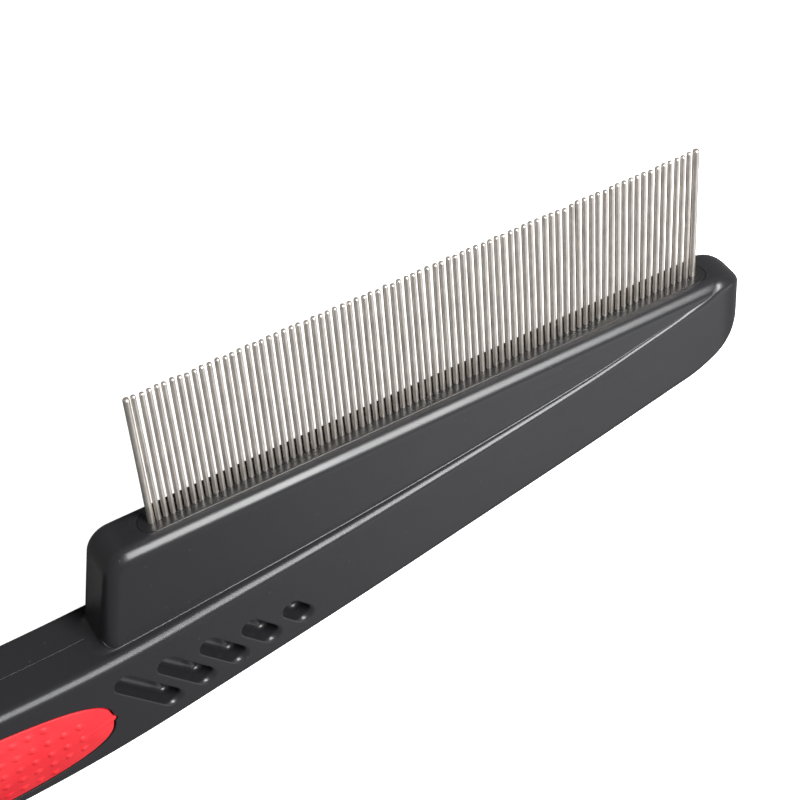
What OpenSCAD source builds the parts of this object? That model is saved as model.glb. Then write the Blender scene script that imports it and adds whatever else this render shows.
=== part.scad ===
// Grooming comb with a row of steel pins, a two-shell moulded body and rubber grip pads.
// X runs from the handle to the nose, Y towards the pin tips and Z out of the front face.
// The comb lies on its rear side, with the origin under the middle of its box.
// Inside the modules Y = 0 is the top of the head, Z = 0 the joint between the two shells
// and X = 0 the first pin.

/* [Pins] */
// Number of pins in the row, with the two thicker end pins
pin_count = 82; // [40:1:90]
// Distance between the axes of neighbouring pins
pin_pitch = 1.3; // [1.2:0.05:1.4]
// Diameter of the thin pins
fine_pin_d = 0.9; // [0.6:0.05:1.0]
// Diameter of the two end pins
end_pin_d = 1.2; // [0.9:0.05:1.4]
// Length of a pin above the head
pin_reach = 28.2; // [15:0.1:35]
// Length of a pin inside the strip
pin_seat = 7.5; // [5:0.5:8]

/* [Pin strip] */
// Width of the strip that carries the pins
strip_w = 4.8; // [4:0.1:5.4]
// Depth of the strip in the head, above its foot
strip_depth = 9.5; // [9:0.5:10]
// Width of the foot that the shells clamp
foot_w = 6.4; // [6:0.1:6.8]
// Height of the foot
foot_h = 2.5; // [1.5:0.5:3]

/* [Head block] */
// Width of the block that stands on the ledge
block_w = 9.5; // [9:0.1:10]
// Radius along the top edges of the block
block_edge_r = 2.2; // [1:0.1:2.3]
// Radius of the corner above the shoulder, seen from the side
shoulder_r = 4.2; // [2:0.1:6]

/* [Body] */
// Radius along the ledge
ledge_r = 1.2; // [0.5:0.1:2]
// Radius along the belly
belly_r = 4; // [2:0.1:4.5]
// Wall between the outside and the hollow bays
wall = 2.4; // [1.8:0.1:2.8]
// Radius of the hanging hole
hole_r = 3.5; // [2:0.5:4]

/* [Pockets] */
// Width of the five blind pockets
pocket_w = 3.7; // [3:0.1:4.5]
// Depth of the pockets
pocket_depth = 3.4; // [1:0.1:4]
// Slope of the pockets below the length of the comb, in degrees
pocket_slope = 49; // [30:1:70]

/* [Grips] */
// Length of a grip pad
grip_l = 70; // [50:1:76]
// Width of a grip pad
grip_w = 16.8; // [10:0.1:17]
// How far the middle of a pad stands out of the body
grip_proud = 1.3; // [0.4:0.1:1.6]

/* [Hidden] */

row_l = (pin_count - 1) * pin_pitch;
nose_x = row_l + 8.7;
tail_x = nose_x - 220;
nose_cap = 9;
tail_cap = 9;
heel_x = -11;
heel_slant = 0.19;

// Stations along the body: X, height of the ledge, height of the belly, half thickness
lines = [
    [tail_x, -24.5, -41.0, 6.6],
    [-92, -23.0, -42.0, 6.7],
    [-78, -20.6, -43.8, 7.6],
    [-55, -19.6, -44.3, 7.6],
    [-34, -20.1, -44.3, 7.6],
    [-14, -19.7, -43.1, 7.5],
    [8, -17.8, -39.6, 7.0],
    [32, -15.3, -35.2, 6.5],
    [58, -11.7, -30.1, 6.0],
    [84, -7.2, -25.4, 5.5],
    [99, -3.7, -22.6, 5.2],
    [nose_x, -0.8, -19.6, 5.0]
];
last = len(lines) - 1;

// Smooth curve through the stations, for column c at distance x
function span_of(x, k = 0) = k >= last - 1 || x < lines[k + 1][0] ? k : span_of(x, k + 1);
function slope_at(k, c) =
    let (a = max(k - 1, 0), b = min(k + 1, last))
    (lines[b][c] - lines[a][c]) / (lines[b][0] - lines[a][0]);
function line_at(x, c) =
    let (k = span_of(x), w = lines[k + 1][0] - lines[k][0], t = (x - lines[k][0]) / w)
    (1 + 2 * t) * (1 - t) ^ 2 * lines[k][c] + t * (1 - t) ^ 2 * w * slope_at(k, c)
    + t ^ 2 * (3 - 2 * t) * lines[k + 1][c] - t ^ 2 * (1 - t) * w * slope_at(k + 1, c);
function ledge(x) = line_at(x, 1);
function belly(x) = line_at(x, 2);
function half(x) = line_at(x, 3);

// Share of the full size that is left at s, from 1 where an end starts to round to 0 at its tip
function round_off(s, n) = (1 - min(s, 1) ^ n) ^ (1 / n);
function end_share(x) = max((x - nose_x + nose_cap) / nose_cap, (tail_x + tail_cap - x) / tail_cap, 0);

// Head block: the height of its top and its half width at x
heel_foot = heel_x - heel_slant * 15;
function block_top(x) = x > heel_x
    ? -shoulder_r * (1 - round_off(max(heel_x + shoulder_r - x, 0) / shoulder_r, 2))
    : max(-shoulder_r - (heel_x - x) / heel_slant, ledge(x));
function block_half(x) = block_w / 2 - 3 * (1 - round_off(max(heel_foot + 3 - x, 0) / 3, 2));

// Half section at x, as [Y, Z] from the top centre over the block, the ledge and the front face to the belly;
// it reaches under the joint plane, where the shells are cut off
function arc(y, z, r, from, to, n) = [for (i = [0:n])
    let (a = from + (to - from) * i / n) [y + r * sin(a), z + r * cos(a)]];
function body_ring(x, grow) =
    let (s = end_share(x), side = 1 - round_off(s, 2), at_nose = x > 0,
         thick = max(half(x) * round_off(s, 2.6), 1.2) + grow,
         top = max(block_top(x), ledge(x)) - side * (at_nose ? 3 : 7) + grow,
         shelf = min(ledge(x) - side * (at_nose ? 3 : 7), top - grow) + grow,
         bottom = belly(x) + side * (at_nose ? 10 : 8) - grow,
         wide = min(block_half(x), thick - 0.15),
         edge = min(block_edge_r, (top - shelf) * 0.8, wide * 0.6),
         lip = min(ledge_r, thick * 0.5, (thick - wide) * 0.9),
         keel = min(belly_r, thick * 0.7))
    concat([[top, -peg_l]], arc(top - edge, wide - edge, edge, 90, 0, 4), [[shelf, wide]],
        arc(shelf - lip, thick - lip, lip, 90, 0, 4), arc(bottom + keel, thick - keel, keel, 0, -90, 6),
        [[bottom, -peg_l]]);

body_stations = concat(
    [for (i = [0:7]) tail_x + tail_cap * (1 - cos(i * 90 / 7))],
    [for (i = [1:8]) tail_x + tail_cap + (heel_foot - 1 - tail_x - tail_cap) * i / 8],
    [for (i = [0:4]) heel_foot + (heel_x - heel_foot) * i / 4],
    [for (i = [1:4]) heel_x + shoulder_r * (1 - cos(i * 22.5))],
    [for (i = [1:10]) heel_x + shoulder_r + (nose_x - nose_cap - heel_x - shoulder_r) * i / 10],
    [for (i = [1:7]) nose_x - nose_cap * (1 - sin(i * 90 / 7))]);
belly_low = min([for (x = body_stations) belly(x)]);

module in_place() {
    translate([-(tail_x + nose_x) / 2, -(belly_low + pin_reach) / 2, half(-55) + grip_proud]) children();
}

// Front half of the outside of the body, as one skin through the half sections
module body_half(grow = 0) {
    rings = [for (x = body_stations) body_ring(x, grow)];
    m = len(rings[0]);
    n = len(rings);
    points = [for (i = [0:n - 1], p = rings[i]) [body_stations[i], p[0], p[1]]];
    sides = [for (i = [0:n - 2], j = [0:m - 1]) let (k = (j + 1) % m)
        each [[i * m + j, i * m + k, (i + 1) * m + k], [i * m + j, (i + 1) * m + k, (i + 1) * m + j]]];
    ends = [for (j = [1:m - 2]) each [[m - 1, j, j - 1], [n * m - 1, (n - 1) * m + j - 1, (n - 1) * m + j]]];
    polyhedron(points, concat(sides, ends), convexity = 6);
}

// Slot outline: a bar with round ends, centred, lying along X
module stadium(l, w) {
    square([l, w], center = true);
    for (side = [-1, 1]) {
        translate([side * l / 2, 0]) circle(d = w, $fn = 48);
    }
}

// Bar with round ends under the pin row, from depth y0 to depth y1 below the top of the head
module row_bar(w, y0, y1) {
    translate([row_l / 2, -y0, 0]) rotate([90, 0, 0]) linear_extrude(y1 - y0) stadium(row_l, w);
}

// Pockets: X and Y of the middle and length between the centres of their round ends
pockets = [for (i = [0:4]) [-8.9 + 7.2 * i, -30.1 + 0.27 * i, 11 - 2.2 * i]];
module pocket_cuts() {
    for (p = pockets) {
        translate([p[0], p[1], half(p[0]) - pocket_depth]) rotate(-pocket_slope)
            linear_extrude(pocket_depth + 2) stadium(p[2], pocket_w);
    }
}

// Hollow bays, each from x0 to x1 and as deep as given, with round bosses left standing
bays = [[-87, -66, 3.8], [-64, -43, 3.8], [-41, -20, 3.8], [-18, 3, 2], [5, 26, 2], [28, 52, 3], [54, 78, 3],
    [80, 103, 3]];
boss_x = [-65, -42, 27, 53, 79];
boss_r = 3;
peg_r = 1.5;
peg_l = 1.8;
function bay_top(x) = min(ledge(x) - wall, x > -20 ? -strip_depth - foot_h - 1.6 : 0);
function bay_bottom(x) = belly(x) + wall;
function boss_y(x) = (bay_top(x) + bay_bottom(x)) / 2;
module bay_cuts() {
    for (bay = bays) {
        steps = [for (i = [0:4]) bay[0] + (bay[1] - bay[0]) * i / 4];
        translate([0, 0, -1]) linear_extrude(bay[2] + 1) difference() {
            polygon(concat([for (x = steps) [x, bay_top(x)]], [for (i = [4:-1:0]) [steps[i], bay_bottom(steps[i])]]));
            for (x = boss_x) {
                translate([x, boss_y(x)]) circle(r = boss_r, $fn = 32);
            }
        }
    }
}
module peg_row(r, l) {
    for (x = boss_x) {
        translate([x, boss_y(x), 0]) cylinder(r = r, h = l, $fn = 32);
    }
}

// Outline of a grip pad: a long superellipse
grip_x = -15.6 - grip_l / 2;
grip_y = -33;
grip_back = 5.8;
module grip_outline() {
    points = [for (i = [0:59]) let (a = i * 6, c = cos(a), s = sin(a))
        [grip_x + grip_l / 2 * sign(c) * abs(c) ^ (2 / 2.8), grip_y + grip_w / 2 * sign(s) * abs(s) ^ (2 / 2.8)]];
    polygon(points);
}

hole_x = tail_x + 11;
hole_y = -32.6;

// One half of the hollow body, open at the joint, with its outside towards +Z and pegs under it if asked for
module shell(pegs) {
    difference() {
        body_half();
        difference() {
            translate([-150, -100, -10]) cube([300, 200, 10]);
            if (pegs) translate([0, 0, -peg_l]) peg_row(peg_r, peg_l + 1);
        }
        bay_cuts();
        row_bar(strip_w, -1, strip_depth + 0.01);
        row_bar(foot_w, strip_depth, strip_depth + foot_h);
        pocket_cuts();
        translate([0, 0, grip_back]) linear_extrude(5) grip_outline();
        translate([hole_x, hole_y, -1]) cylinder(r = hole_r, h = 12, $fn = 64);
    }
}

// Front shell, with sockets in its bosses
module handle_front_shell() {
    color([0.09, 0.09, 0.1]) in_place() difference() {
        shell(false);
        translate([0, 0, -1]) peg_row(peg_r, peg_l + 1);
    }
}

// Rear shell, with pegs on its bosses
module handle_rear_shell() {
    color([0.13, 0.13, 0.14]) in_place() mirror([0, 0, 1]) shell(true);
}

// Bar that carries the pins, with its clamped foot and one blind hole for each pin
module pin_strip() {
    color([0.05, 0.05, 0.06]) in_place() difference() {
        union() {
            row_bar(strip_w, 0, strip_depth);
            row_bar(foot_w, strip_depth, strip_depth + foot_h);
        }
        for (i = [0:pin_count - 1]) {
            translate([i * pin_pitch, 1, 0]) rotate([90, 0, 0]) cylinder(d = pin_d(i), h = pin_seat + 1, $fn = 24);
        }
    }
}
function pin_d(i) = i == 0 || i == pin_count - 1 ? end_pin_d : fine_pin_d;

// Steel pin number i, a rod with a round tip
module pin(i) {
    r = pin_d(i) / 2;
    translate([i * pin_pitch, -pin_seat, 0]) rotate([-90, 0, 0]) {
        cylinder(r = r, h = pin_seat + pin_reach - r, $fn = 24);
        translate([0, 0, pin_seat + pin_reach - r]) sphere(r = r, $fn = 24);
    }
}
module fine_pins() {
    color([0.75, 0.73, 0.7]) in_place() for (i = [1:pin_count - 2]) {
        pin(i);
    }
}
module heel_pin() {
    color([0.75, 0.73, 0.7]) in_place() pin(0);
}
module nose_pin() {
    color([0.75, 0.73, 0.7]) in_place() pin(pin_count - 1);
}

// Rubber pad that fills its recess: stacked outlines, blended into a crowned back with a narrow flat on top
// Layers of the crown: share of the pad's length, share of its width, share of how far it stands out
crown = [[0.9, 0.75, 0.65], [0.8, 0.45, 1]];
module grip_pad() {
    hull() {
        translate([0, 0, grip_back]) linear_extrude(half(-55) - grip_back - layer) grip_outline();
        for (c = crown) {
            translate([grip_x, grip_y, half(-55) + c[2] * grip_proud - layer]) linear_extrude(layer)
                scale([c[0], c[1]]) translate([-grip_x, -grip_y]) grip_outline();
        }
    }
}
layer = 0.1;
module grip_front() {
    color([0.85, 0.12, 0.15]) in_place() grip_pad();
}
module grip_rear() {
    color([0.75, 0.1, 0.13]) in_place() mirror([0, 0, 1]) grip_pad();
}

handle_front_shell();
handle_rear_shell();
pin_strip();
fine_pins();
heel_pin();
nose_pin();
grip_front();
grip_rear();
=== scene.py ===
import math
import bmesh
import bpy
import numpy as np
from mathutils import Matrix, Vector
from mathutils.geometry import delaunay_2d_cdt


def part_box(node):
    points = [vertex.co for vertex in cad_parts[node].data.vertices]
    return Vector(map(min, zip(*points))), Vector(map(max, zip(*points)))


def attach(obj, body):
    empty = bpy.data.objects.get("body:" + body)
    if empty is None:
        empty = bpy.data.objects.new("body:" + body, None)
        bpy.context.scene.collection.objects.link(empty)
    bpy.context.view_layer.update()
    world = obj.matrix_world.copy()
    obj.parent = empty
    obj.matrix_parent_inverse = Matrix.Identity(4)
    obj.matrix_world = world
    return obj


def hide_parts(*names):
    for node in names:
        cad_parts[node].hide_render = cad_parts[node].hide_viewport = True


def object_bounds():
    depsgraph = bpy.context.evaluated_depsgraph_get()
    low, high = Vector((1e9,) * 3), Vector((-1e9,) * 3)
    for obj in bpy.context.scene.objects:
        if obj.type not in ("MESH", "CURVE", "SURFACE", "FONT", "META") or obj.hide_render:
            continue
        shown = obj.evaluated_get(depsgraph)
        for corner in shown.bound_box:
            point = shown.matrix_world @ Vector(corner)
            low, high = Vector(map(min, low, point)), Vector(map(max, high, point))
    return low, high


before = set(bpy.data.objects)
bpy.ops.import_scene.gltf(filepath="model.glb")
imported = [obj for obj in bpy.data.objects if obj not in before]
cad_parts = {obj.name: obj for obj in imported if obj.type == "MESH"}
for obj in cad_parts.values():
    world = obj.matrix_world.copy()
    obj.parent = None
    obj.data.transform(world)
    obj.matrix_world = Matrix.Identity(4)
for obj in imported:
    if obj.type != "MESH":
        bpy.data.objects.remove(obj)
cad_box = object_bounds()

# ---------------------------------------------------------------- front shell
# Front half of the body: handle, neck, the block that carries the pins, and the nose. Injection
# moulded black ABS with a satin face. It is closed on the rear shell with pegs and welded, and its
# face has a recess for the grip, five blind pockets and the hanging hole.

MM = 0.001
heel_low, heel_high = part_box("heel_pin")
nose_low, nose_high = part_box("nose_pin")
ORIGIN = np.array([
    (heel_low[0] + heel_high[0]) / 2,
    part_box("pin_strip")[1][1],
    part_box("handle_front_shell")[0][2]])
row_length = ((nose_low[0] + nose_high[0]) / 2 - ORIGIN[0]) / MM
tail_end, nose_end = [(x - ORIGIN[0]) / MM for x in (cad_box[0][0], cad_box[1][0])]


def place(points):
    """Points in millimetres from the first pin's axis, the top of the head and the joint plane,
    turned into metres in the frame of the comb: origin plus points times one millimetre."""
    return ORIGIN + np.asarray(points, float) * MM


def through(stations, x, column):
    """Smooth curve through stations: cubic Hermite spans whose slope at a station is the rise
    between its two neighbours over their distance."""
    table = np.asarray(stations, float)
    at, height = table[:, 0], table[:, column]
    inner = np.arange(len(at))
    left, right = np.maximum(inner - 1, 0), np.minimum(inner + 1, len(at) - 1)
    slope = (height[right] - height[left]) / (at[right] - at[left])
    k = np.clip(np.searchsorted(at, x, side="right") - 1, 0, len(at) - 2)
    span = at[k + 1] - at[k]
    t = np.clip((x - at[k]) / span, 0, 1)
    rise = (1 + 2 * t) * (1 - t) ** 2 * height[k] + t ** 2 * (3 - 2 * t) * height[k + 1]
    return rise + span * (t * (1 - t) ** 2 * slope[k] - t ** 2 * (1 - t) * slope[k + 1])


# Distance along the comb, height of the ledge, height of the belly, half thickness, in millimetres
BODY_LINES = [
    (tail_end, -24.5, -41.0, 6.6),
    (-92, -23.0, -42.0, 6.7),
    (-78, -20.6, -43.8, 7.6),
    (-55, -19.6, -44.3, 7.6),
    (-34, -20.1, -44.3, 7.6),
    (-14, -19.7, -42.6, 7.5),
    (8, -17.8, -39.3, 7.0),
    (32, -15.3, -35.2, 6.5),
    (58, -11.7, -30.1, 6.0),
    (80, -8.1, -25.7, 5.6),
    (93, -5.2, -22.9, 5.35),
    (100, -3.5, -21.4, 5.2),
    (105, -1.5, -20.5, 5.1),
    (108, -0.05, -20.1, 5.05),
    (nose_end, -0.01, -19.3, 4.98),
]


def ledge(x):
    """Height of the ledge at x."""
    return np.minimum(through(BODY_LINES, x, 1), -0.01)


def belly(x):
    """Height of the belly at x."""
    return through(BODY_LINES, x, 2)


def face(x):
    """Distance of the front face from the joint plane at x."""
    return through(BODY_LINES, x, 3)


def quarter(n, start=0.0):
    """Angles of n steps over a quarter turn, without the first ones up to start."""
    return np.linspace(start, math.pi / 2, n + 1)


def worn_round(s, power):
    """Share left at s, from 1 where an end starts to round to 0 at its tip: the superellipse
    (1 - s^power)^(1/power)."""
    return (1 - np.clip(s, 0, 1) ** power) ** (1 / power)


SEAM = 0.025
LEDGE_ROUND = 1.8
NOSE_ROUND = 2.3
NOSE_DROP = 4.6
NOSE_DROP_LONG = 5.6
NOSE_LIFT = 13
TAIL_DROP = 7
TAIL_LIFT = 8
TAIL_LONG = 10
BELLY_TALL = 2.3
BELLY_DEEP = 4.5
GUARD = 0.25


def thinning(x):
    """Share of the half thickness left at x, rounded off at the nose and at the tail."""
    return worn_round(1 - (nose_end - x) / 6.2, 2.3) * worn_round(1 - (x - tail_end) / 9, 2.3)


def front_face(x):
    """Height of the flat face over the joint plane at x."""
    return SEAM + (face(x) - SEAM) * thinning(x)


def body_section(x):
    """Half sections of the body at the distances x, as grids of heights and depths: joint, shelf,
    ledge arc, face, elliptic belly arc, joint. Both ends are drawn in by superellipses."""
    x = np.asarray(x, float)[:, None]
    top, low, deep = ledge(x), belly(x), face(x)
    lip = np.interp(x, [-20, -10, 100, 106], [0.05, 0.03, 0.02, 0.02])
    mix = np.clip((x - 99) / 8, 0, 1)
    edge = LEDGE_ROUND - 0.0115 * np.clip(x, 0, 100)
    edge = edge + (NOSE_ROUND - edge) * mix * mix * (3 - 2 * mix)
    inner = SEAM + lip
    sine, cosine = np.sin(quarter(9)), np.cos(quarter(9))
    keel_sine, keel_cosine = np.sin(quarter(14)), np.cos(quarter(14))
    keel = low + BELLY_TALL
    high = top - edge
    columns = np.linspace(0, 1, 9)
    run = high - GUARD - (keel + GUARD)
    one = np.ones_like(x)
    v = [top - 1.2, top - lip, top - 0.3 * lip, top, top, top,
         high + edge * cosine[:-1], high, high - GUARD - run * columns,
         keel - BELLY_TALL * keel_sine, low, low, low + 0.3 * lip, low + lip, low + 1.2]
    w = [SEAM * one, SEAM * one, SEAM + 0.3 * lip, inner, inner + GUARD, deep - edge - GUARD,
         deep - edge + edge * sine[:-1], deep, deep + 0 * columns,
         deep - BELLY_DEEP + BELLY_DEEP * keel_cosine, inner + 0.1,
         inner, SEAM + 0.3 * lip, SEAM * one, SEAM * one]
    v = np.hstack([part * one for part in v])
    w = np.hstack([part * one for part in w])
    nose_in = nose_end - x
    tail_worn = 1 - worn_round(1 - (x - tail_end) / TAIL_LONG, 2)
    drop = NOSE_DROP * (1 - worn_round(1 - nose_in / NOSE_DROP_LONG, 2)) + TAIL_DROP * tail_worn
    lift = NOSE_LIFT * (1 - worn_round(1 - nose_in / NOSE_LIFT, 2)) + TAIL_LIFT * tail_worn
    v = low + lift + (v - low) * (top - low - drop - lift) / (top - low)
    w = SEAM + (w - SEAM) * thinning(x)
    return v, w


# Order of the section's points: the face runs from FACE_TOP to FACE_LOW
FACE_TOP, FACE_LOW = 16, 24
ends = 1 - np.cos(np.linspace(0.03, math.pi / 2, 26))
long_run = np.concatenate([np.linspace(tail_end + 10, -24, 36)[1:], np.linspace(-24, 30, 55)[1:],
    np.linspace(30, 96, 30)[1:], np.linspace(96, nose_end - 9, 12)[1:-1]])
body_x = np.concatenate([tail_end + 10 * ends, long_run, nose_end - 9 * ends[::-1]])


def grid_faces(rows, columns, start=0):
    """Quads of a rows by columns grid of vertices, numbered row by row from start."""
    corner = start + np.arange(rows - 1)[:, None] * columns + np.arange(columns - 1)
    return np.stack([corner, corner + 1, corner + columns + 1, corner + columns], -1).reshape(-1, 4)


def inside(points, loop):
    """Which points lie in a closed outline: an odd number of its edges is crossed on the way to +X."""
    px, py = points[:, 0, None], points[:, 1, None]
    ax, ay = loop[:, 0], loop[:, 1]
    bx, by = np.roll(ax, -1), np.roll(ay, -1)
    spans = (ay > py) != (by > py)
    with np.errstate(divide="ignore", invalid="ignore"):
        crossing = ax + (py - ay) * (bx - ax) / (by - ay)
    return (spans & (px < crossing)).sum(1) % 2 == 1


def flat_patch(outline, holes, spacing):
    """Triangles between a plane outline and its holes: a Delaunay net over the loops and a lattice
    of inner points, without the triangles whose middle is outside or in a hole."""
    loops = [outline] + holes
    low, high = outline.min(0), outline.max(0)
    across, up = [np.arange(low[k], high[k], spacing) for k in (0, 1)]
    lattice = np.stack(np.meshgrid(across, up), -1).reshape(-1, 2)
    rim = np.concatenate(loops)
    keep = inside(lattice, outline)
    for hole in holes:
        keep &= ~inside(lattice, hole)
    near = ((lattice[:, None] - rim[None]) ** 2).sum(-1).min(1)
    lattice = lattice[keep & (near > (0.45 * spacing) ** 2)]
    points = np.concatenate([rim, lattice])
    edges, first = [], 0
    for loop in loops:
        n = len(loop)
        edges += [(first + k, first + (k + 1) % n) for k in range(n)]
        first += n
    net = delaunay_2d_cdt([Vector(p) for p in points], edges, [], 0, 1e-7)
    points = np.array([tuple(p) for p in net[0]])
    triangles = np.array(net[2])
    middle = points[triangles].mean(1)
    keep = inside(middle, outline)
    for hole in holes:
        keep &= ~inside(middle, hole)
    return points, triangles[keep]


class Skin:
    """Vertices and faces gathered from several grids and patches into one mesh."""

    def __init__(self):
        self.points, self.faces, self.count = [], [], 0

    def add(self, points, faces):
        points = np.asarray(points, float).reshape(-1, 3)
        self.points.append(points)
        self.faces += [[int(k) + self.count for k in one] for one in faces]
        self.count += len(points)

    def rings(self, rings, cap=False):
        """A stack of closed loops of equal length, joined by quads, with the last one capped."""
        rings = np.asarray(rings, float)
        rows, n = rings.shape[:2]
        k = np.arange(n)
        row = np.arange(rows - 1)[:, None] * n
        quads = np.stack([row + k, row + (k + 1) % n, row + n + (k + 1) % n, row + n + k], -1).reshape(-1, 4)
        faces = quads.tolist()
        if cap:
            faces.append(list(range((rows - 1) * n, rows * n)))
        self.add(rings, faces)


def make_piece(name, points, faces, material, merge=2e-6, turn=True):
    """Mesh object of that name from points in metres: doubles merged, faces turned outwards and
    shaded smooth up to 50 degrees."""
    mesh = bpy.data.meshes.new(name)
    mesh.from_pydata(np.asarray(points).tolist(), [], [list(f) for f in faces])
    work = bmesh.new()
    work.from_mesh(mesh)
    if merge:
        bmesh.ops.remove_doubles(work, verts=work.verts, dist=merge)
    if turn:
        bmesh.ops.recalc_face_normals(work, faces=work.faces)
    work.to_mesh(mesh)
    work.free()
    mesh.shade_smooth()
    mesh.set_sharp_from_angle(angle=math.radians(50))
    mesh.materials.append(material)
    piece = bpy.data.objects.new(name, mesh)
    bpy.context.scene.collection.objects.link(piece)
    return piece


GRIP_HALF_LENGTH = 35.0
GRIP_HALF_WIDTH = 8.1
GRIP_TIP = -15.7
GRIP_MIDDLE = -32.9
GRIP_POWER = 2.8


def grip_outline(grow, turns):
    """Outline of the grip grown by that much: a superellipse, with the small nib of the moulding
    gate at its tip."""
    c, s = np.cos(turns), np.sin(turns)
    x = np.sign(c) * np.abs(c) ** (2 / GRIP_POWER) * (GRIP_HALF_LENGTH + grow)
    y = np.sign(s) * np.abs(s) ** (2 / GRIP_POWER) * (GRIP_HALF_WIDTH + grow)
    nib = 0.6 * np.exp(-((y - 0.1) / 0.48) ** 4) * (x > 0)
    return np.stack([GRIP_TIP - GRIP_HALF_LENGTH + x + nib, GRIP_MIDDLE + y], -1)


POCKET_SLOPE = math.radians(-49)
POCKET_RADIUS = 1.85
POCKET_DEPTH = 3.4
POCKETS = [(-8.9 + 7.2 * i, -30.1 + 0.27 * i, 5.5 - 1.1 * i) for i in range(5)]


def pocket_outline(middle_x, middle_y, half, grow):
    """Outline of a pocket, two half circles joined by straight sides, grown along its normals by an
    array or a number; also the outline's normals along the pocket."""
    turn = np.linspace(-math.pi / 2, math.pi / 2, 17)
    side = np.linspace(-0.75, 0.75, 4) * half
    along = np.concatenate([half + 0 * turn, -side, -half + 0 * turn, side])
    angle = np.concatenate([turn, math.pi / 2 + 0 * side, turn + math.pi, 1.5 * math.pi + 0 * side])
    reach = POCKET_RADIUS + grow
    a, b = along + np.cos(angle) * reach, np.sin(angle) * reach
    c, s = math.cos(POCKET_SLOPE), math.sin(POCKET_SLOPE)
    return np.stack([middle_x + a * c - b * s, middle_y + a * s + b * c], -1), np.cos(angle)


def sunk(outline, depth):
    """Outline placed that far under the front face."""
    return np.concatenate([outline, (front_face(outline[:, 0]) - depth)[:, None]], 1)


def body_shell():
    """Closed skin of one half of the body: the lofted sections, whose face is cut out and refilled
    by a net with the pockets, the grip's recess and the hanging hole in it."""
    skin = Skin()
    v, w = body_section(body_x)
    rows, columns = v.shape
    grid = np.stack([np.repeat(body_x[:, None], columns, 1), v, w], -1)
    quads = grid_faces(rows, columns)
    first, last = np.searchsorted(body_x, tail_end + 5.2), np.searchsorted(body_x, 29.9)
    row, column = quads[:, 0] // columns, quads[:, 0] % columns
    cut = (row >= first) & (row < last) & (column >= FACE_TOP) & (column < FACE_LOW)
    caps = [list(range(columns)), list(range((rows - 1) * columns, rows * columns))]
    skin.add(grid, quads[~cut].tolist() + caps)

    turns = np.linspace(0, 2 * math.pi, 241)[:-1]
    recess = [sunk(grip_outline(grow, turns), depth)
        for grow, depth in ((0.5, 0), (0.4, 0), (0.33, 0.04), (0.3, 0.14), (0.3, 1.8))]
    holes = [recess[0][:, :2]]
    skin.rings(recess, cap=True)

    for x, y, half in POCKETS:
        levels = []
        normal = pocket_outline(x, y, half, 0)[1]
        soft = 0.18 + 1.1 * np.clip(normal, 0, 1) ** 2
        levels.append(sunk(pocket_outline(x, y, half, soft + GUARD)[0], 0))
        for a in quarter(6):
            edge = pocket_outline(x, y, half, soft * (1 - math.sin(a)))[0]
            levels.append(sunk(edge, soft * (1 - math.cos(a))))
        for a in quarter(7):
            grow = -0.12 - 1.0 * (1 - math.cos(a))
            levels.append(sunk(pocket_outline(x, y, half, grow)[0], POCKET_DEPTH - 1.0 * (1 - math.sin(a))))
        holes.append(levels[0][:, :2])
        skin.rings(levels, cap=True)

    hang_x, hang_y, hang_radius, hang_round = tail_end + 11, -32.6, 3.5, 0.5
    circle = np.stack([np.cos(turns[::3]), np.sin(turns[::3])], -1)
    levels = [sunk([hang_x, hang_y] + circle * (hang_radius + hang_round + 0.1), 0)]
    for a in quarter(6):
        rim = [hang_x, hang_y] + circle * (hang_radius + hang_round * (1 - math.sin(a)))
        levels.append(sunk(rim, hang_round * (1 - math.cos(a))))
    bottom = np.concatenate([[hang_x, hang_y] + circle * hang_radius, np.full((len(circle), 1), SEAM)], 1)
    skin.rings(levels + [bottom])
    holes.append(levels[0][:, :2])

    loop = np.concatenate([
        grid[first:last, FACE_TOP],
        grid[last, FACE_TOP:FACE_LOW],
        grid[last:first:-1, FACE_LOW],
        grid[first, FACE_LOW:FACE_TOP:-1]])
    points, triangles = flat_patch(loop[:, :2], holes, 2.4)
    skin.add(np.concatenate([points, front_face(points[:, 0])[:, None]], 1), triangles)

    joint = np.concatenate([grid[:, 0], grid[::-1, -1]])
    points, triangles = flat_patch(joint[:, :2], [bottom[:, :2]], 6.0)
    skin.add(np.concatenate([points, np.full((len(points), 1), SEAM)], 1), triangles)
    return skin


BLOCK_HALF = 4.75
BLOCK_EDGE = 2.2
BLOCK_DRAFT = 0.015
HEEL = -10.05
HEEL_SLANT = 0.19
HEEL_CORNER = 4.8
BLOCK_END = 110.7
BLOCK_LAST = 2.5
SLOT_HALF = 2.46
SLOT_DEEP = 2.2
BEAD_END = 101


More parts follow.
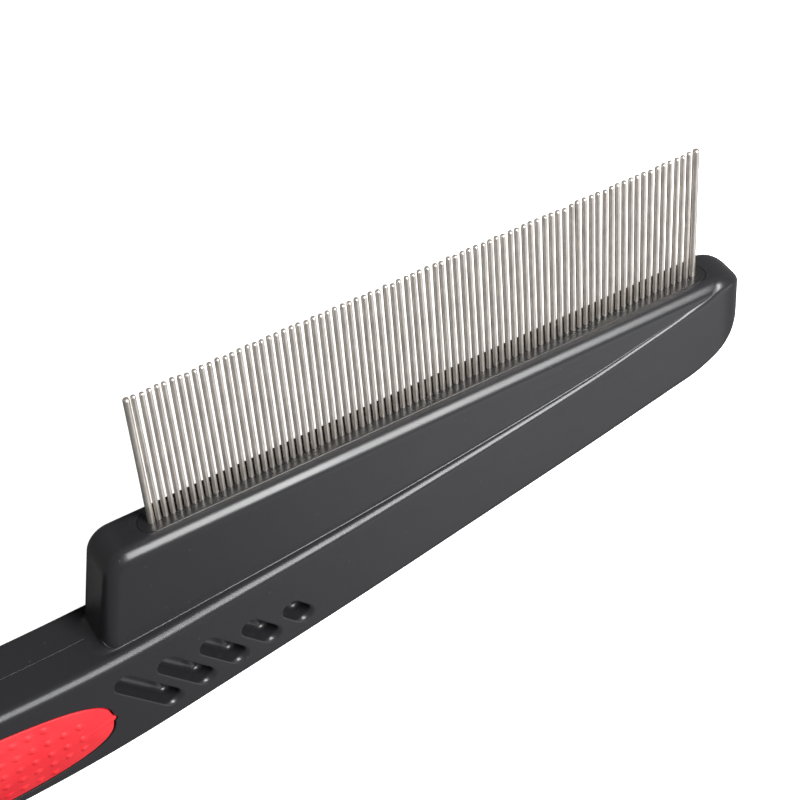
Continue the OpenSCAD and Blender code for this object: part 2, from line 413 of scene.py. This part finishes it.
def block_side():
    """Side view of the block from the foot of the heel over its corner and along the top to the end
    inside the nose, as points and outward normals: two lines and two arcs that touch them."""
    lean = math.atan(HEEL_SLANT)
    swing = math.pi / 2 - lean
    rise = HEEL_CORNER * math.tan(swing / 2)
    turn = np.linspace(0, 1, 15)
    angle = math.pi - lean - swing * turn
    corner = np.stack([HEEL + rise + HEEL_CORNER * np.cos(angle), HEEL_CORNER * (np.sin(angle) - 1)], -1)
    wall = np.linspace(-21.5, corner[0, 1], 9)[:-1]
    heel = np.stack([corner[0, 0] + HEEL_SLANT * (wall - corner[0, 1]), wall], -1)
    far = BLOCK_END - BLOCK_LAST
    top = np.stack([np.linspace(corner[-1, 0], far, 46)[1:-1], np.zeros(44)], -1)
    bend = np.linspace(math.pi / 2, 0, 9)
    last = np.stack([far + BLOCK_LAST * np.cos(bend), BLOCK_LAST * (np.sin(bend) - 1)], -1)
    drop = np.array([[BLOCK_END, -5.0], [BLOCK_END, -9.0]])
    angles = np.concatenate([np.full(8, angle[0]), angle, np.full(44, math.pi / 2), bend, np.zeros(2)])
    points = np.concatenate([heel, corner, top, last, drop])
    return points, np.stack([np.cos(angles), np.sin(angles)], -1), len(heel) + len(corner) - 1


def slot_half_outline(grow):
    """Half of the slot's outline from its heel end to its nose end, grown by that much."""
    r = SLOT_HALF + grow
    turn = np.linspace(0, math.pi / 2, 19)
    side = np.linspace(0, 1, 40)[1:-1]
    x = np.concatenate([-r * np.cos(turn), row_length * side, row_length + r * np.sin(turn)])
    w = np.concatenate([r * np.sin(turn), r + 0 * side, r * np.cos(turn)])
    w[0] = w[-1] = 0
    return np.stack([x, w], -1)


def block_half(skin):
    """Adds the closed skin of one half of the block: the side view drawn in by a quarter round
    towards the face, flat nets for the face and the top, and the slot's rim and walls."""
    side, normal, first_top = block_side()
    far_top = first_top + 45
    slot_end = row_length + SLOT_HALF
    parts = Skin()
    arc = quarter(9)
    rounding = np.stack([np.concatenate([side - normal * BLOCK_EDGE * (1 - math.cos(a)),
        np.full((len(side), 1), BLOCK_HALF - BLOCK_EDGE + BLOCK_EDGE * math.sin(a))], 1) for a in arc])
    guard = np.concatenate([side - normal * (BLOCK_EDGE + GUARD), np.full((len(side), 1), BLOCK_HALF)], 1)
    rounding = np.concatenate([rounding, guard[None]])
    parts.add(rounding, grid_faces(*rounding.shape[:2]))

    net, triangles = flat_patch(guard[:, :2], [], 3.0)
    parts.add(np.concatenate([net, np.full((len(net), 1), BLOCK_HALF)], 1), triangles)

    shares = np.array([0, 0.3, 0.6, 0.88, 1]) * (BLOCK_HALF - BLOCK_EDGE)
    for part in (side[:first_top + 1], side[far_top:]):
        steps = np.repeat(shares[:, None, None], len(part), 1)
        sheet = np.concatenate([np.repeat(part[None], len(shares), 0), steps], 2)
        parts.add(sheet, grid_faces(*sheet.shape[:2]))
    rim = slot_half_outline(0.07)
    edge = np.stack([side[first_top:far_top + 1, 0], np.full(46, BLOCK_HALF - BLOCK_EDGE)], -1)
    ends = [[[side[k, 0], share] for share in shares[1:-1]] for k in (first_top, far_top)]
    outline = np.concatenate([edge, ends[1][::-1], [[side[far_top, 0], 0]], rim[::-1],
        [[side[first_top, 0], 0]], ends[0]])
    net, triangles = flat_patch(outline, [], 1.2)
    parts.add(np.stack([net[:, 0], 0 * net[:, 0], net[:, 1]], -1), triangles)

    walls = []
    for grow, v in ((0.07, 0), (0.035, -0.01), (0.01, -0.035), (0, -0.07), (0, -SLOT_DEEP)):
        loop = slot_half_outline(grow)
        walls.append(np.stack([loop[:, 0], v + 0 * loop[:, 0], loop[:, 1]], -1))
    floor = walls[-1] * [1, 1, 0]
    walls = np.array(walls + [floor])
    parts.add(walls, grid_faces(*walls.shape[:2]))

    slot_ends = [walls[1:-1, k, :2] for k in (0, -1)]
    seam = np.concatenate([side[:first_top + 1], walls[:1, 0, :2], slot_ends[0],
        floor[1:-1, :2], slot_ends[1][::-1], walls[:1, -1, :2], side[far_top:]])
    parts.add(np.concatenate([seam, np.zeros((len(seam), 1))], 1), [list(range(len(seam)))])
    heel_foot = np.concatenate([rounding[::-1, 0], [[*side[0], s] for s in shares[-2::-1]]])
    nose_foot = np.concatenate([[[*side[-1], s] for s in shares[:-1]], rounding[:, -1]])
    foot = np.concatenate([heel_foot, nose_foot])
    parts.add(foot, [list(range(len(foot)))])

    points = np.concatenate(parts.points)
    points[:, 2] *= 1 - BLOCK_DRAFT * points[:, 1] / BLOCK_HALF
    points[:, 2] *= 1 - 0.12 * np.clip((points[:, 0] - slot_end) / (BLOCK_END - slot_end), 0, 1)
    skin.add(points, parts.faces)


def foot_bead(skin):
    """Adds the concave bead where the block stands on the ledge: a hollow quarter round carried
    round the foot, wide along the heel, fine along the side and gone near BEAD_END, closed under
    the surface."""
    flat = np.linspace(0, 1, 7)[:-1]
    corner = np.linspace(0, math.pi / 2, 12)
    run = np.linspace(0, 1, 60)[1:]
    radius = BLOCK_EDGE
    foot_v = ledge(np.array([HEEL + HEEL_SLANT * -19.6]))[0]
    heel = HEEL + HEEL_SLANT * foot_v
    half = BLOCK_HALF - BLOCK_DRAFT * foot_v
    side_start = heel + radius
    x = np.concatenate([heel + 0 * flat, heel + radius * (1 - np.cos(corner)),
        side_start + (BEAD_END - heel - radius) * run])
    w = np.concatenate([(half - radius) * flat, half - radius + radius * np.sin(corner), half + 0 * run])
    out_x = -np.concatenate([1 + 0 * flat, np.cos(corner), 0 * run])
    out_w = np.concatenate([0 * flat, np.sin(corner), 1 + 0 * run])
    w = w * (1 - BLOCK_DRAFT * (ledge(x) - foot_v) / BLOCK_HALF * np.clip((x - heel) / 5, 0, 1))
    w = np.where(x > heel + radius, BLOCK_HALF - BLOCK_DRAFT * ledge(x), w)
    size = (0.26 + 1.5 * out_x ** 2) * np.clip((BEAD_END + 0.5 - x) / 20, 0, 1)
    a = quarter(7)
    across = np.concatenate([1 - np.sin(a), [-0.4, -0.4, 1]])
    up = np.concatenate([1 - np.cos(a), [1, -0.4, -0.4]])
    x, w, size, out_x, out_w = [line[:, None] for line in (x, w, size, out_x, out_w)]
    spread = x + out_x * size * across
    grid = np.stack([spread + HEEL_SLANT * up * size * out_x ** 2, ledge(spread) + size * up,
        w + out_w * size * across], -1)
    grid[0, :, 2] = 0
    skin.rings(grid, cap=True)
    n = grid.shape[1]
    skin.faces.append([skin.count - grid.shape[0] * n + k for k in range(n)][::-1])


def build_shell(name, side, material):
    """One shell of the body, towards the front for side 1 and the rear for side -1."""
    skin = body_shell()
    block_half(skin)
    foot_bead(skin)
    points = np.concatenate(skin.points) * [1, 1, side]
    return make_piece(name, place(points), skin.faces, material)


def link(tree, start, output, end, entry):
    """Joins a node's output to another node's entry."""
    tree.links.new(start.outputs[output], end.inputs[entry])


def new_group(name, inputs, outputs):
    """Empty shader node group with named inputs, each a kind and a default, and named outputs."""
    group = bpy.data.node_groups.new(name, "ShaderNodeTree")
    for entry, (kind, value) in inputs.items():
        socket = group.interface.new_socket(entry, in_out="INPUT", socket_type=kind)
        socket.default_value = value
    for entry, kind in outputs.items():
        group.interface.new_socket(entry, in_out="OUTPUT", socket_type=kind)
    return group, group.nodes.new("NodeGroupInput"), group.nodes.new("NodeGroupOutput")


def add_node(tree, kind, **settings):
    """New node with its properties, and its sockets where the name is one."""
    node = tree.nodes.new(kind)
    for key, value in settings.items():
        if key in node.inputs:
            node.inputs[key].default_value = value
        else:
            setattr(node, key, value)
    return node


def moulded_skin_group():
    """Skin of a moulded plastic: a fine grain in the height, soft clouds in the roughness, hairline
    scratches and a few light specks of dust."""
    group, given, result = new_group("moulded_skin",
        {"Grain Size": ("NodeSocketFloat", 4000.0), "Roughness": ("NodeSocketFloat", 0.35),
         "Scratches": ("NodeSocketFloat", 0.3), "Specks": ("NodeSocketFloat", 0.5)},
        {"Roughness": "NodeSocketFloat", "Height": "NodeSocketFloat", "Dust": "NodeSocketFloat"})
    place_at = add_node(group, "ShaderNodeTexCoord")
    grain = add_node(group, "ShaderNodeTexNoise", Detail=3.0, Roughness=0.6)
    link(group, place_at, "Object", grain, "Vector")
    link(group, given, "Grain Size", grain, "Scale")
    clouds = add_node(group, "ShaderNodeTexNoise", Scale=60.0, Detail=4.0)
    link(group, place_at, "Object", clouds, "Vector")
    stretch = add_node(group, "ShaderNodeMapping")
    stretch.inputs["Rotation"].default_value = (0.2, 0.1, 0.5)
    stretch.inputs["Scale"].default_value = (70.0, 1900.0, 1900.0)
    link(group, place_at, "Object", stretch, "Vector")
    hairs = add_node(group, "ShaderNodeTexNoise", Scale=1.0, Detail=2.0)
    link(group, stretch, "Vector", hairs, "Vector")
    hair_cut = add_node(group, "ShaderNodeMapRange")
    hair_cut.inputs["From Min"].default_value = 0.66
    hair_cut.inputs["From Max"].default_value = 0.74
    link(group, hairs, "Fac", hair_cut, "Value")
    scratch = add_node(group, "ShaderNodeMath", operation="MULTIPLY")
    link(group, hair_cut, "Result", scratch, 0)
    link(group, given, "Scratches", scratch, 1)
    dots = add_node(group, "ShaderNodeTexVoronoi", Scale=520.0)
    link(group, place_at, "Object", dots, "Vector")
    dot_cut = add_node(group, "ShaderNodeMapRange")
    dot_cut.inputs["From Min"].default_value = 0.1
    dot_cut.inputs["From Max"].default_value = 0.05
    link(group, dots, "Distance", dot_cut, "Value")
    rare = add_node(group, "ShaderNodeMath", operation="GREATER_THAN")
    rare.inputs[1].default_value = 0.86
    pick = add_node(group, "ShaderNodeSeparateColor")
    link(group, dots, "Color", pick, "Color")
    link(group, pick, "Red", rare, 0)
    dust = add_node(group, "ShaderNodeMath", operation="MULTIPLY")
    link(group, dot_cut, "Result", dust, 0)
    link(group, rare, 0, dust, 1)
    dust_amount = add_node(group, "ShaderNodeMath", operation="MULTIPLY")
    link(group, dust, 0, dust_amount, 0)
    link(group, given, "Specks", dust_amount, 1)
    uneven = add_node(group, "ShaderNodeMapRange")
    uneven.inputs["To Min"].default_value = -0.05
    uneven.inputs["To Max"].default_value = 0.05
    link(group, clouds, "Fac", uneven, "Value")
    rough = add_node(group, "ShaderNodeMath", operation="ADD")
    link(group, given, "Roughness", rough, 0)
    link(group, uneven, "Result", rough, 1)
    rougher = add_node(group, "ShaderNodeMath", operation="MULTIPLY_ADD")
    link(group, scratch, 0, rougher, 0)
    rougher.inputs[1].default_value = 0.25
    link(group, rough, 0, rougher, 2)
    height = add_node(group, "ShaderNodeMath", operation="SUBTRACT")
    link(group, grain, "Fac", height, 0)
    link(group, scratch, 0, height, 1)
    link(group, rougher, 0, result, "Roughness")
    link(group, height, 0, result, "Height")
    link(group, dust_amount, 0, result, "Dust")
    return group


moulded_skin = moulded_skin_group()


def plastic(name, colour, dust_colour, roughness, grain, bump, scratches, specks, gloss=0.5):
    """Moulded plastic with that colour, roughness and depth of grain."""
    material = bpy.data.materials.new(name)
    material.use_nodes = True
    tree = material.node_tree
    shader = tree.nodes["Principled BSDF"]
    shader.inputs["Specular IOR Level"].default_value = gloss
    skin = add_node(tree, "ShaderNodeGroup", node_tree=moulded_skin)
    skin.inputs["Grain Size"].default_value = grain
    skin.inputs["Roughness"].default_value = roughness
    skin.inputs["Scratches"].default_value = scratches
    skin.inputs["Specks"].default_value = specks
    tint = add_node(tree, "ShaderNodeMix", data_type="RGBA")
    tint.inputs[6].default_value = (*colour, 1)
    tint.inputs[7].default_value = (*dust_colour, 1)
    tree.links.new(skin.outputs["Dust"], tint.inputs[0])
    tree.links.new(tint.outputs[2], shader.inputs["Base Color"])
    relief = add_node(tree, "ShaderNodeBump", Strength=bump, Distance=0.00002)
    link(tree, skin, "Height", relief, "Height")
    link(tree, skin, "Roughness", shader, "Roughness")
    link(tree, relief, "Normal", shader, "Normal")
    return material


satin_black = plastic("satin_black_abs", (0.016, 0.016, 0.018), (0.25, 0.25, 0.25), roughness=0.31,
    grain=5200.0, bump=0.35, scratches=0.35, specks=0.14)
front_shell = build_shell("front_shell", 1, satin_black)
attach(front_shell, "root")
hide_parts("handle_front_shell")

# ---------------------------------------------------------------- rear shell
# Rear half of the body, the mirror image of the front one outside, from the same black ABS.
# Its pegs go into the front shell's bosses, and the two are welded along the joint plane.

rear_shell = build_shell("rear_shell", -1, satin_black)
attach(rear_shell, "root")
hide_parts("handle_rear_shell")

# ---------------------------------------------------------------- pin strip
# Separate bar with round ends that holds the pins, moulded in gloss black plastic.
# Its foot is clamped in a groove between the shells, and its top lies flush with the head.

STRIP_HALF = 2.4
strip_foot = (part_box("pin_strip")[0][1] - ORIGIN[1]) / MM


def bar_loop(radius, height):
    """Outline of a bar with round ends round the pin row, at that height: two half circles of that
    radius joined by straight sides."""
    turn = np.linspace(-math.pi / 2, math.pi / 2, 25)
    side = np.linspace(0, 1, 30)[1:-1]
    x = np.concatenate([row_length + radius * np.cos(turn), row_length * (1 - side),
        -radius * np.cos(turn), row_length * side])
    z = np.concatenate([radius * np.sin(turn), radius + 0 * side,
        -radius * np.sin(turn), -radius + 0 * side])
    return np.stack([x, height + 0 * x, z], -1)


def build_strip():
    """Bar from its foot to its top: foot, step, wall, and a small round along the top edge."""
    skin = Skin()
    step = -9.5
    levels = [(3.2, strip_foot), (3.2, step), (STRIP_HALF, step), (STRIP_HALF, -1.0), (STRIP_HALF, -0.12),
        (STRIP_HALF - 0.035, -0.035), (STRIP_HALF - 0.12, 0), (STRIP_HALF - 0.3, 0)]
    rings = [bar_loop(radius, height) for radius, height in levels]
    foot_middle = np.tile(rings[0].mean(0), (len(rings[0]), 1))
    skin.rings([foot_middle] + rings, cap=True)
    return make_piece("pin_bar", place(np.concatenate(skin.points)), skin.faces, gloss_black)


gloss_black = plastic("gloss_black_strip", (0.013, 0.013, 0.014), (0.2, 0.2, 0.2), roughness=0.27,
    grain=3000.0, bump=0.12, scratches=0.3, specks=0.3)
pin_bar = build_strip()
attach(pin_bar, "root")
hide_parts("pin_strip")

# ---------------------------------------------------------------- fine pins
# Eighty pins of drawn stainless steel rod, each with a tumbled round tip, pressed into blind
# holes of the strip. They stand a little unevenly, as pressed pins do.

PIN_SEAT = 7.5
tip_height = (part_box("fine_pins")[1][1] - ORIGIN[1]) / MM
pitch_count = 81
rng = np.random.default_rng(41)


def pin_grid(at, radius, tip, lean, sink):
    """Rods as a profile turned round their axes: the axes stand at the distances at, lean by lean
    millimetres at the tip and end sink lower than tip. One row of the profile holds radius share
    and height; the round tip is a slightly blunt half circle."""
    around = np.linspace(0, 2 * math.pi, 17)[:-1]
    cap = quarter(6)
    share = np.concatenate([[0.0, 0.92, 1.0], np.ones(3), np.cos(cap)[:-1] ** 0.94, [0.0]])
    body = np.concatenate([[-PIN_SEAT, -PIN_SEAT, -PIN_SEAT + 0.2], np.array([0.0, 0.5, 1.0])])
    share = share[:, None, None]
    at = np.asarray(at, float)
    radius = np.asarray(radius, float)
    top = tip - np.asarray(sink)
    start = np.full_like(at, 1.0)
    shaft = top - radius
    heights = np.stack([body[0] * start, body[1] * start, body[2] * start, 0 * start, 0.5 * shaft, shaft]
        + [shaft + radius * s for s in np.sin(cap)[1:-1]] + [top, top])[:len(share)]
    bend = np.clip(heights / tip, 0, 1) ** 1.5
    x = at[None, :, None] + (bend * lean[0])[:, :, None] + share * radius[None, :, None] * np.cos(around)
    z = (bend * lean[1])[:, :, None] + share * radius[None, :, None] * np.sin(around)
    y = np.broadcast_to(heights[:, :, None], x.shape)
    return np.stack([x, y, z], -1).transpose(1, 0, 2, 3)


def build_pins(name, at, radius, tip, lean, sink, material):
    """Object of pins: each pin a closed tube of quads from its seat to the point of its tip."""
    grid = pin_grid(at, radius, tip, lean, sink)
    pins, rows, around = grid.shape[:3]
    k = np.arange(around)
    row = np.arange(rows - 1)[:, None] * around
    after = (k + 1) % around
    quads = np.stack([row + k, row + around + k, row + around + after, row + after], -1)
    quads = (np.arange(pins)[:, None, None, None] * rows * around + quads).reshape(-1, 4)
    return make_piece(name, place(grid.reshape(-1, 3)), quads.tolist(), material)


def drawn_steel():
    """Drawn steel: bright metal with fine draw lines up the pin and soft darker stains."""
    material = bpy.data.materials.new("drawn_steel")
    material.use_nodes = True
    tree = material.node_tree
    shader = tree.nodes["Principled BSDF"]
    shader.inputs["Metallic"].default_value = 1.0
    where = add_node(tree, "ShaderNodeTexCoord")
    lines_at = add_node(tree, "ShaderNodeMapping")
    lines_at.inputs["Scale"].default_value = (9000.0, 160.0, 9000.0)
    link(tree, where, "Object", lines_at, "Vector")
    lines = add_node(tree, "ShaderNodeTexNoise", Scale=1.0, Detail=3.0)
    link(tree, lines_at, "Vector", lines, "Vector")
    blotch_at = add_node(tree, "ShaderNodeMapping")
    blotch_at.inputs["Scale"].default_value = (900.0, 260.0, 900.0)
    link(tree, where, "Object", blotch_at, "Vector")
    blotch = add_node(tree, "ShaderNodeTexNoise", Scale=1.0, Detail=4.0, Roughness=0.65)
    link(tree, blotch_at, "Vector", blotch, "Vector")
    tone = add_node(tree, "ShaderNodeValToRGB")
    tone.color_ramp.elements[0].position = 0.3
    tone.color_ramp.elements[0].color = (0.70, 0.65, 0.595, 1)
    tone.color_ramp.elements[1].position = 0.65
    tone.color_ramp.elements[1].color = (0.95, 0.895, 0.83, 1)
    link(tree, blotch, "Fac", tone, "Fac")
    link(tree, tone, "Color", shader, "Base Color")
    rough = add_node(tree, "ShaderNodeMapRange")
    rough.inputs["To Min"].default_value = 0.34
    rough.inputs["To Max"].default_value = 0.5
    link(tree, lines, "Fac", rough, "Value")
    link(tree, rough, "Result", shader, "Roughness")
    relief = add_node(tree, "ShaderNodeBump", Strength=0.12, Distance=0.00001)
    link(tree, lines, "Fac", relief, "Height")
    link(tree, relief, "Normal", shader, "Normal")
    return material


steel = drawn_steel()
fine_at = row_length * np.arange(1, pitch_count) / pitch_count
fine_count = len(fine_at)
fine_radius = np.full(fine_count, 0.45)
fine_lean = rng.normal(0, 0.07, (2, fine_count))
fine_sink = np.abs(rng.normal(0, 0.12, fine_count))
fine_pins = build_pins("fine_steel_pins", fine_at, fine_radius, tip_height, fine_lean, fine_sink, steel)
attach(fine_pins, "root")
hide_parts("fine_pins")

# ---------------------------------------------------------------- heel pin
# First pin at the handle end of the row, thicker than the fine ones so that it guards them.
# The same drawn steel rod, pressed into the strip.

heel_tip = (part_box("heel_pin")[1][1] - ORIGIN[1]) / MM
thick = (heel_high[0] - heel_low[0]) / 2 / MM
straight = np.zeros((2, 1))
heel_pin = build_pins("heel_steel_pin", np.array([0.0]), np.array([thick]), heel_tip, straight, [0.0],
    steel)
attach(heel_pin, "root")
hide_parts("heel_pin")

# ---------------------------------------------------------------- nose pin
# Last pin at the nose end, as thick as the heel pin and from the same rod.

nose_pin = build_pins("nose_steel_pin", np.array([row_length]), np.array([thick]), heel_tip, straight,
    [0.0], steel)
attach(nose_pin, "root")
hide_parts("nose_pin")

# ---------------------------------------------------------------- front grip
# Soft red rubber pad, moulded with a crowned back and rows of raised round dots, and set into
# the recess of the front shell, where a fine gap is left round it.

crown_height = (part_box("grip_front")[1][2] - ORIGIN[2]) / MM - 7.6
DOT_PITCH = 2.85
DOT_RADIUS = 0.62
DOT_HEIGHT = 0.3
DOT_START = 21.8
DOT_COLUMNS = 19


def crown(share):
    """Height of the pad over the face where share runs from 0 on its middle line to 1 on its edge:
    a parabola that leaves room for the dots."""
    return (crown_height - DOT_HEIGHT) * (1 - share ** 2)


def build_grip(name, side, material):
    """Pad as rings that shrink from its back edge to its middle line, with the dots raised on those
    of its crown."""
    turns = np.linspace(0, 2 * math.pi, 361)[:-1]
    base = grip_outline(0, turns)
    middle = GRIP_TIP - GRIP_HALF_LENGTH
    rings = []
    for depth, grow in ((1.7, -0.1), (0.5, -0.02), (0.22, 0.0)):
        rings.append(np.concatenate([grip_outline(grow, turns), (face(base[:, 0]) - depth)[:, None]], 1))
    for a in quarter(4)[1:]:
        loop = grip_outline(-0.22 * (1 - math.cos(a)), turns)
        rings.append(np.concatenate([loop, (face(loop[:, 0]) - 0.22 + 0.22 * math.sin(a))[:, None]], 1))
    skin = Skin()
    edge = rings[-1]
    spine_x = middle + (base[:, 0] - middle) * (GRIP_HALF_LENGTH - GRIP_HALF_WIDTH) / GRIP_HALF_LENGTH
    spine = np.stack([spine_x, GRIP_MIDDLE + 0 * spine_x], -1)
    for t in np.linspace(0, 1, 57)[1:]:
        loop = edge[:, :2] + (spine - edge[:, :2]) * t
        rings.append(np.concatenate([loop, (face(loop[:, 0]) + crown(1 - t))[:, None]], 1))
    stack = np.array(rings)
    top = stack[6:]
    top[..., 2] += dots_over(top[..., 0], top[..., 1])
    stack[6:] = top
    skin.rings(stack)
    floor = stack[0]
    skin.add(floor, [list(range(len(floor)))[::-1]])
    points = np.concatenate(skin.points) * [1, 1, side]
    return make_piece(name, place(points), skin.faces, material, merge=4e-6)


def dots_over(x, y):
    """Height of the raised dots: half spheres flattened to DOT_HEIGHT on a square pattern that is
    left out near the tip of the pad."""
    column = np.round((x + DOT_START) / DOT_PITCH)
    row = np.round((y - GRIP_MIDDLE) / DOT_PITCH)
    away = np.hypot(x + DOT_START - column * DOT_PITCH, y - GRIP_MIDDLE - row * DOT_PITCH)
    used = (np.abs(row) <= 2) & (column <= 0) & (column > -DOT_COLUMNS)
    used &= (np.abs(row) < 2) | (column <= -2)
    return DOT_HEIGHT * np.sqrt(np.clip(1 - (away / DOT_RADIUS) ** 2, 0, 1)) * used


def red_rubber():
    """Thermoplastic rubber: clear red with a fine matt grain and faint, uneven clouds."""
    material = bpy.data.materials.new("red_grip_rubber")
    material.use_nodes = True
    tree = material.node_tree
    shader = tree.nodes["Principled BSDF"]
    shader.inputs["Specular IOR Level"].default_value = 0.35
    where = add_node(tree, "ShaderNodeTexCoord")
    grain = add_node(tree, "ShaderNodeTexNoise", Scale=3500.0, Detail=2.0)
    link(tree, where, "Object", grain, "Vector")
    bloom = add_node(tree, "ShaderNodeTexNoise", Scale=120.0, Detail=5.0)
    link(tree, where, "Object", bloom, "Vector")
    tone = add_node(tree, "ShaderNodeValToRGB")
    tone.color_ramp.elements[0].position = 0.3
    tone.color_ramp.elements[0].color = (0.58, 0.013, 0.022, 1)
    tone.color_ramp.elements[1].position = 0.75
    tone.color_ramp.elements[1].color = (0.7, 0.03, 0.038, 1)
    link(tree, bloom, "Fac", tone, "Fac")
    link(tree, tone, "Color", shader, "Base Color")
    rough = add_node(tree, "ShaderNodeMapRange")
    rough.inputs["To Min"].default_value = 0.5
    rough.inputs["To Max"].default_value = 0.62
    link(tree, bloom, "Fac", rough, "Value")
    link(tree, rough, "Result", shader, "Roughness")
    relief = add_node(tree, "ShaderNodeBump", Strength=0.3, Distance=0.00002)
    link(tree, grain, "Fac", relief, "Height")
    link(tree, relief, "Normal", shader, "Normal")
    return material


rubber = red_rubber()
front_grip = build_grip("front_grip_pad", 1, rubber)
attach(front_grip, "root")
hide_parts("grip_front")

# ---------------------------------------------------------------- rear grip
# The same red pad on the rear shell, where the palm rests.

rear_grip = build_grip("rear_grip_pad", -1, rubber)
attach(rear_grip, "root")
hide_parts("grip_rear")

# ---------------------------------------------------------------- floor
# Board that the comb lies on. The camera sees it plain white. For every other ray it is a dark grey
# without glow, so it throws little light back onto the black plastic.

floor_points = [(-3, -3, -0.0002), (3, -3, -0.0002), (3, 3, -0.0002), (-3, 3, -0.0002)]
floor_mesh = bpy.data.meshes.new("studio_floor")
floor_mesh.from_pydata(floor_points, [], [(0, 1, 2, 3)])
board = bpy.data.materials.new("white_board")
board.use_nodes = True
board_shader = board.node_tree.nodes["Principled BSDF"]
board_shader.inputs["Roughness"].default_value = 0.9
board_shader.inputs["Emission Strength"].default_value = 1.0
seen = add_node(board.node_tree, "ShaderNodeLightPath")
for entry, unseen, shown in (("Base Color", 0.14, 0.9), ("Emission Color", 0.0, 1.0)):
    shade = add_node(board.node_tree, "ShaderNodeMix", data_type="RGBA")
    shade.inputs[6].default_value = (unseen, unseen, unseen, 1)
    shade.inputs[7].default_value = (shown, shown, shown, 1)
    board.node_tree.links.new(seen.outputs["Is Camera Ray"], shade.inputs[0])
    board.node_tree.links.new(shade.outputs[2], board_shader.inputs[entry])
floor_mesh.materials.append(board)
studio_floor = bpy.data.objects.new("studio_floor", floor_mesh)
bpy.context.scene.collection.objects.link(studio_floor)

# ---------------------------------------------------------------- light
# A dim white room, a small bright soft box on the pins' side and a broad one on the belly side.

world = bpy.data.worlds.new("pale_room")
world.use_nodes = True
world.node_tree.nodes["Background"].inputs["Color"].default_value = (1, 1, 1, 1)
world.node_tree.nodes["Background"].inputs["Strength"].default_value = 0.22
bpy.context.scene.world = world
bpy.context.scene.view_settings.view_transform = "Standard"


def soft_box(name, along, lean, distance, size, radiance):
    """Rectangular light parallel to the comb, that far along it and leant from straight above
    towards the pins, in degrees; its power is pi times its area times its radiance."""
    data = bpy.data.lights.new(name, "AREA")
    data.shape = "RECTANGLE"
    data.size, data.size_y = size
    data.energy = math.pi * size[0] * size[1] * radiance
    lamp = bpy.data.objects.new(name, data)
    turn = math.radians(lean)
    lamp.location = (along, distance * math.sin(turn), distance * math.cos(turn))
    lamp.rotation_euler = (-turn, 0, 0)
    bpy.context.scene.collection.objects.link(lamp)


soft_box("pin_side_box", 0.28, 38, 0.9, (0.32, 0.8), 23)
soft_box("belly_side_box", 1.25, -36, 1.2, (1.8, 0.7), 1.3)

# ---------------------------------------------------------------- camera
# A long lens over the pins, looking down on the front face.

camera_data = bpy.data.cameras.new("camera")
camera_data.sensor_width = 36
camera_data.lens = 104.37
camera_data.clip_start = 0.01
camera = bpy.data.objects.new("camera", camera_data)
camera.location = place((-73.93, 276.47, 243.75))
camera.rotation_euler = [math.radians(turn) for turn in (-43.332, -29.877, -4.178)]
bpy.context.scene.collection.objects.link(camera)
bpy.context.scene.camera = camera
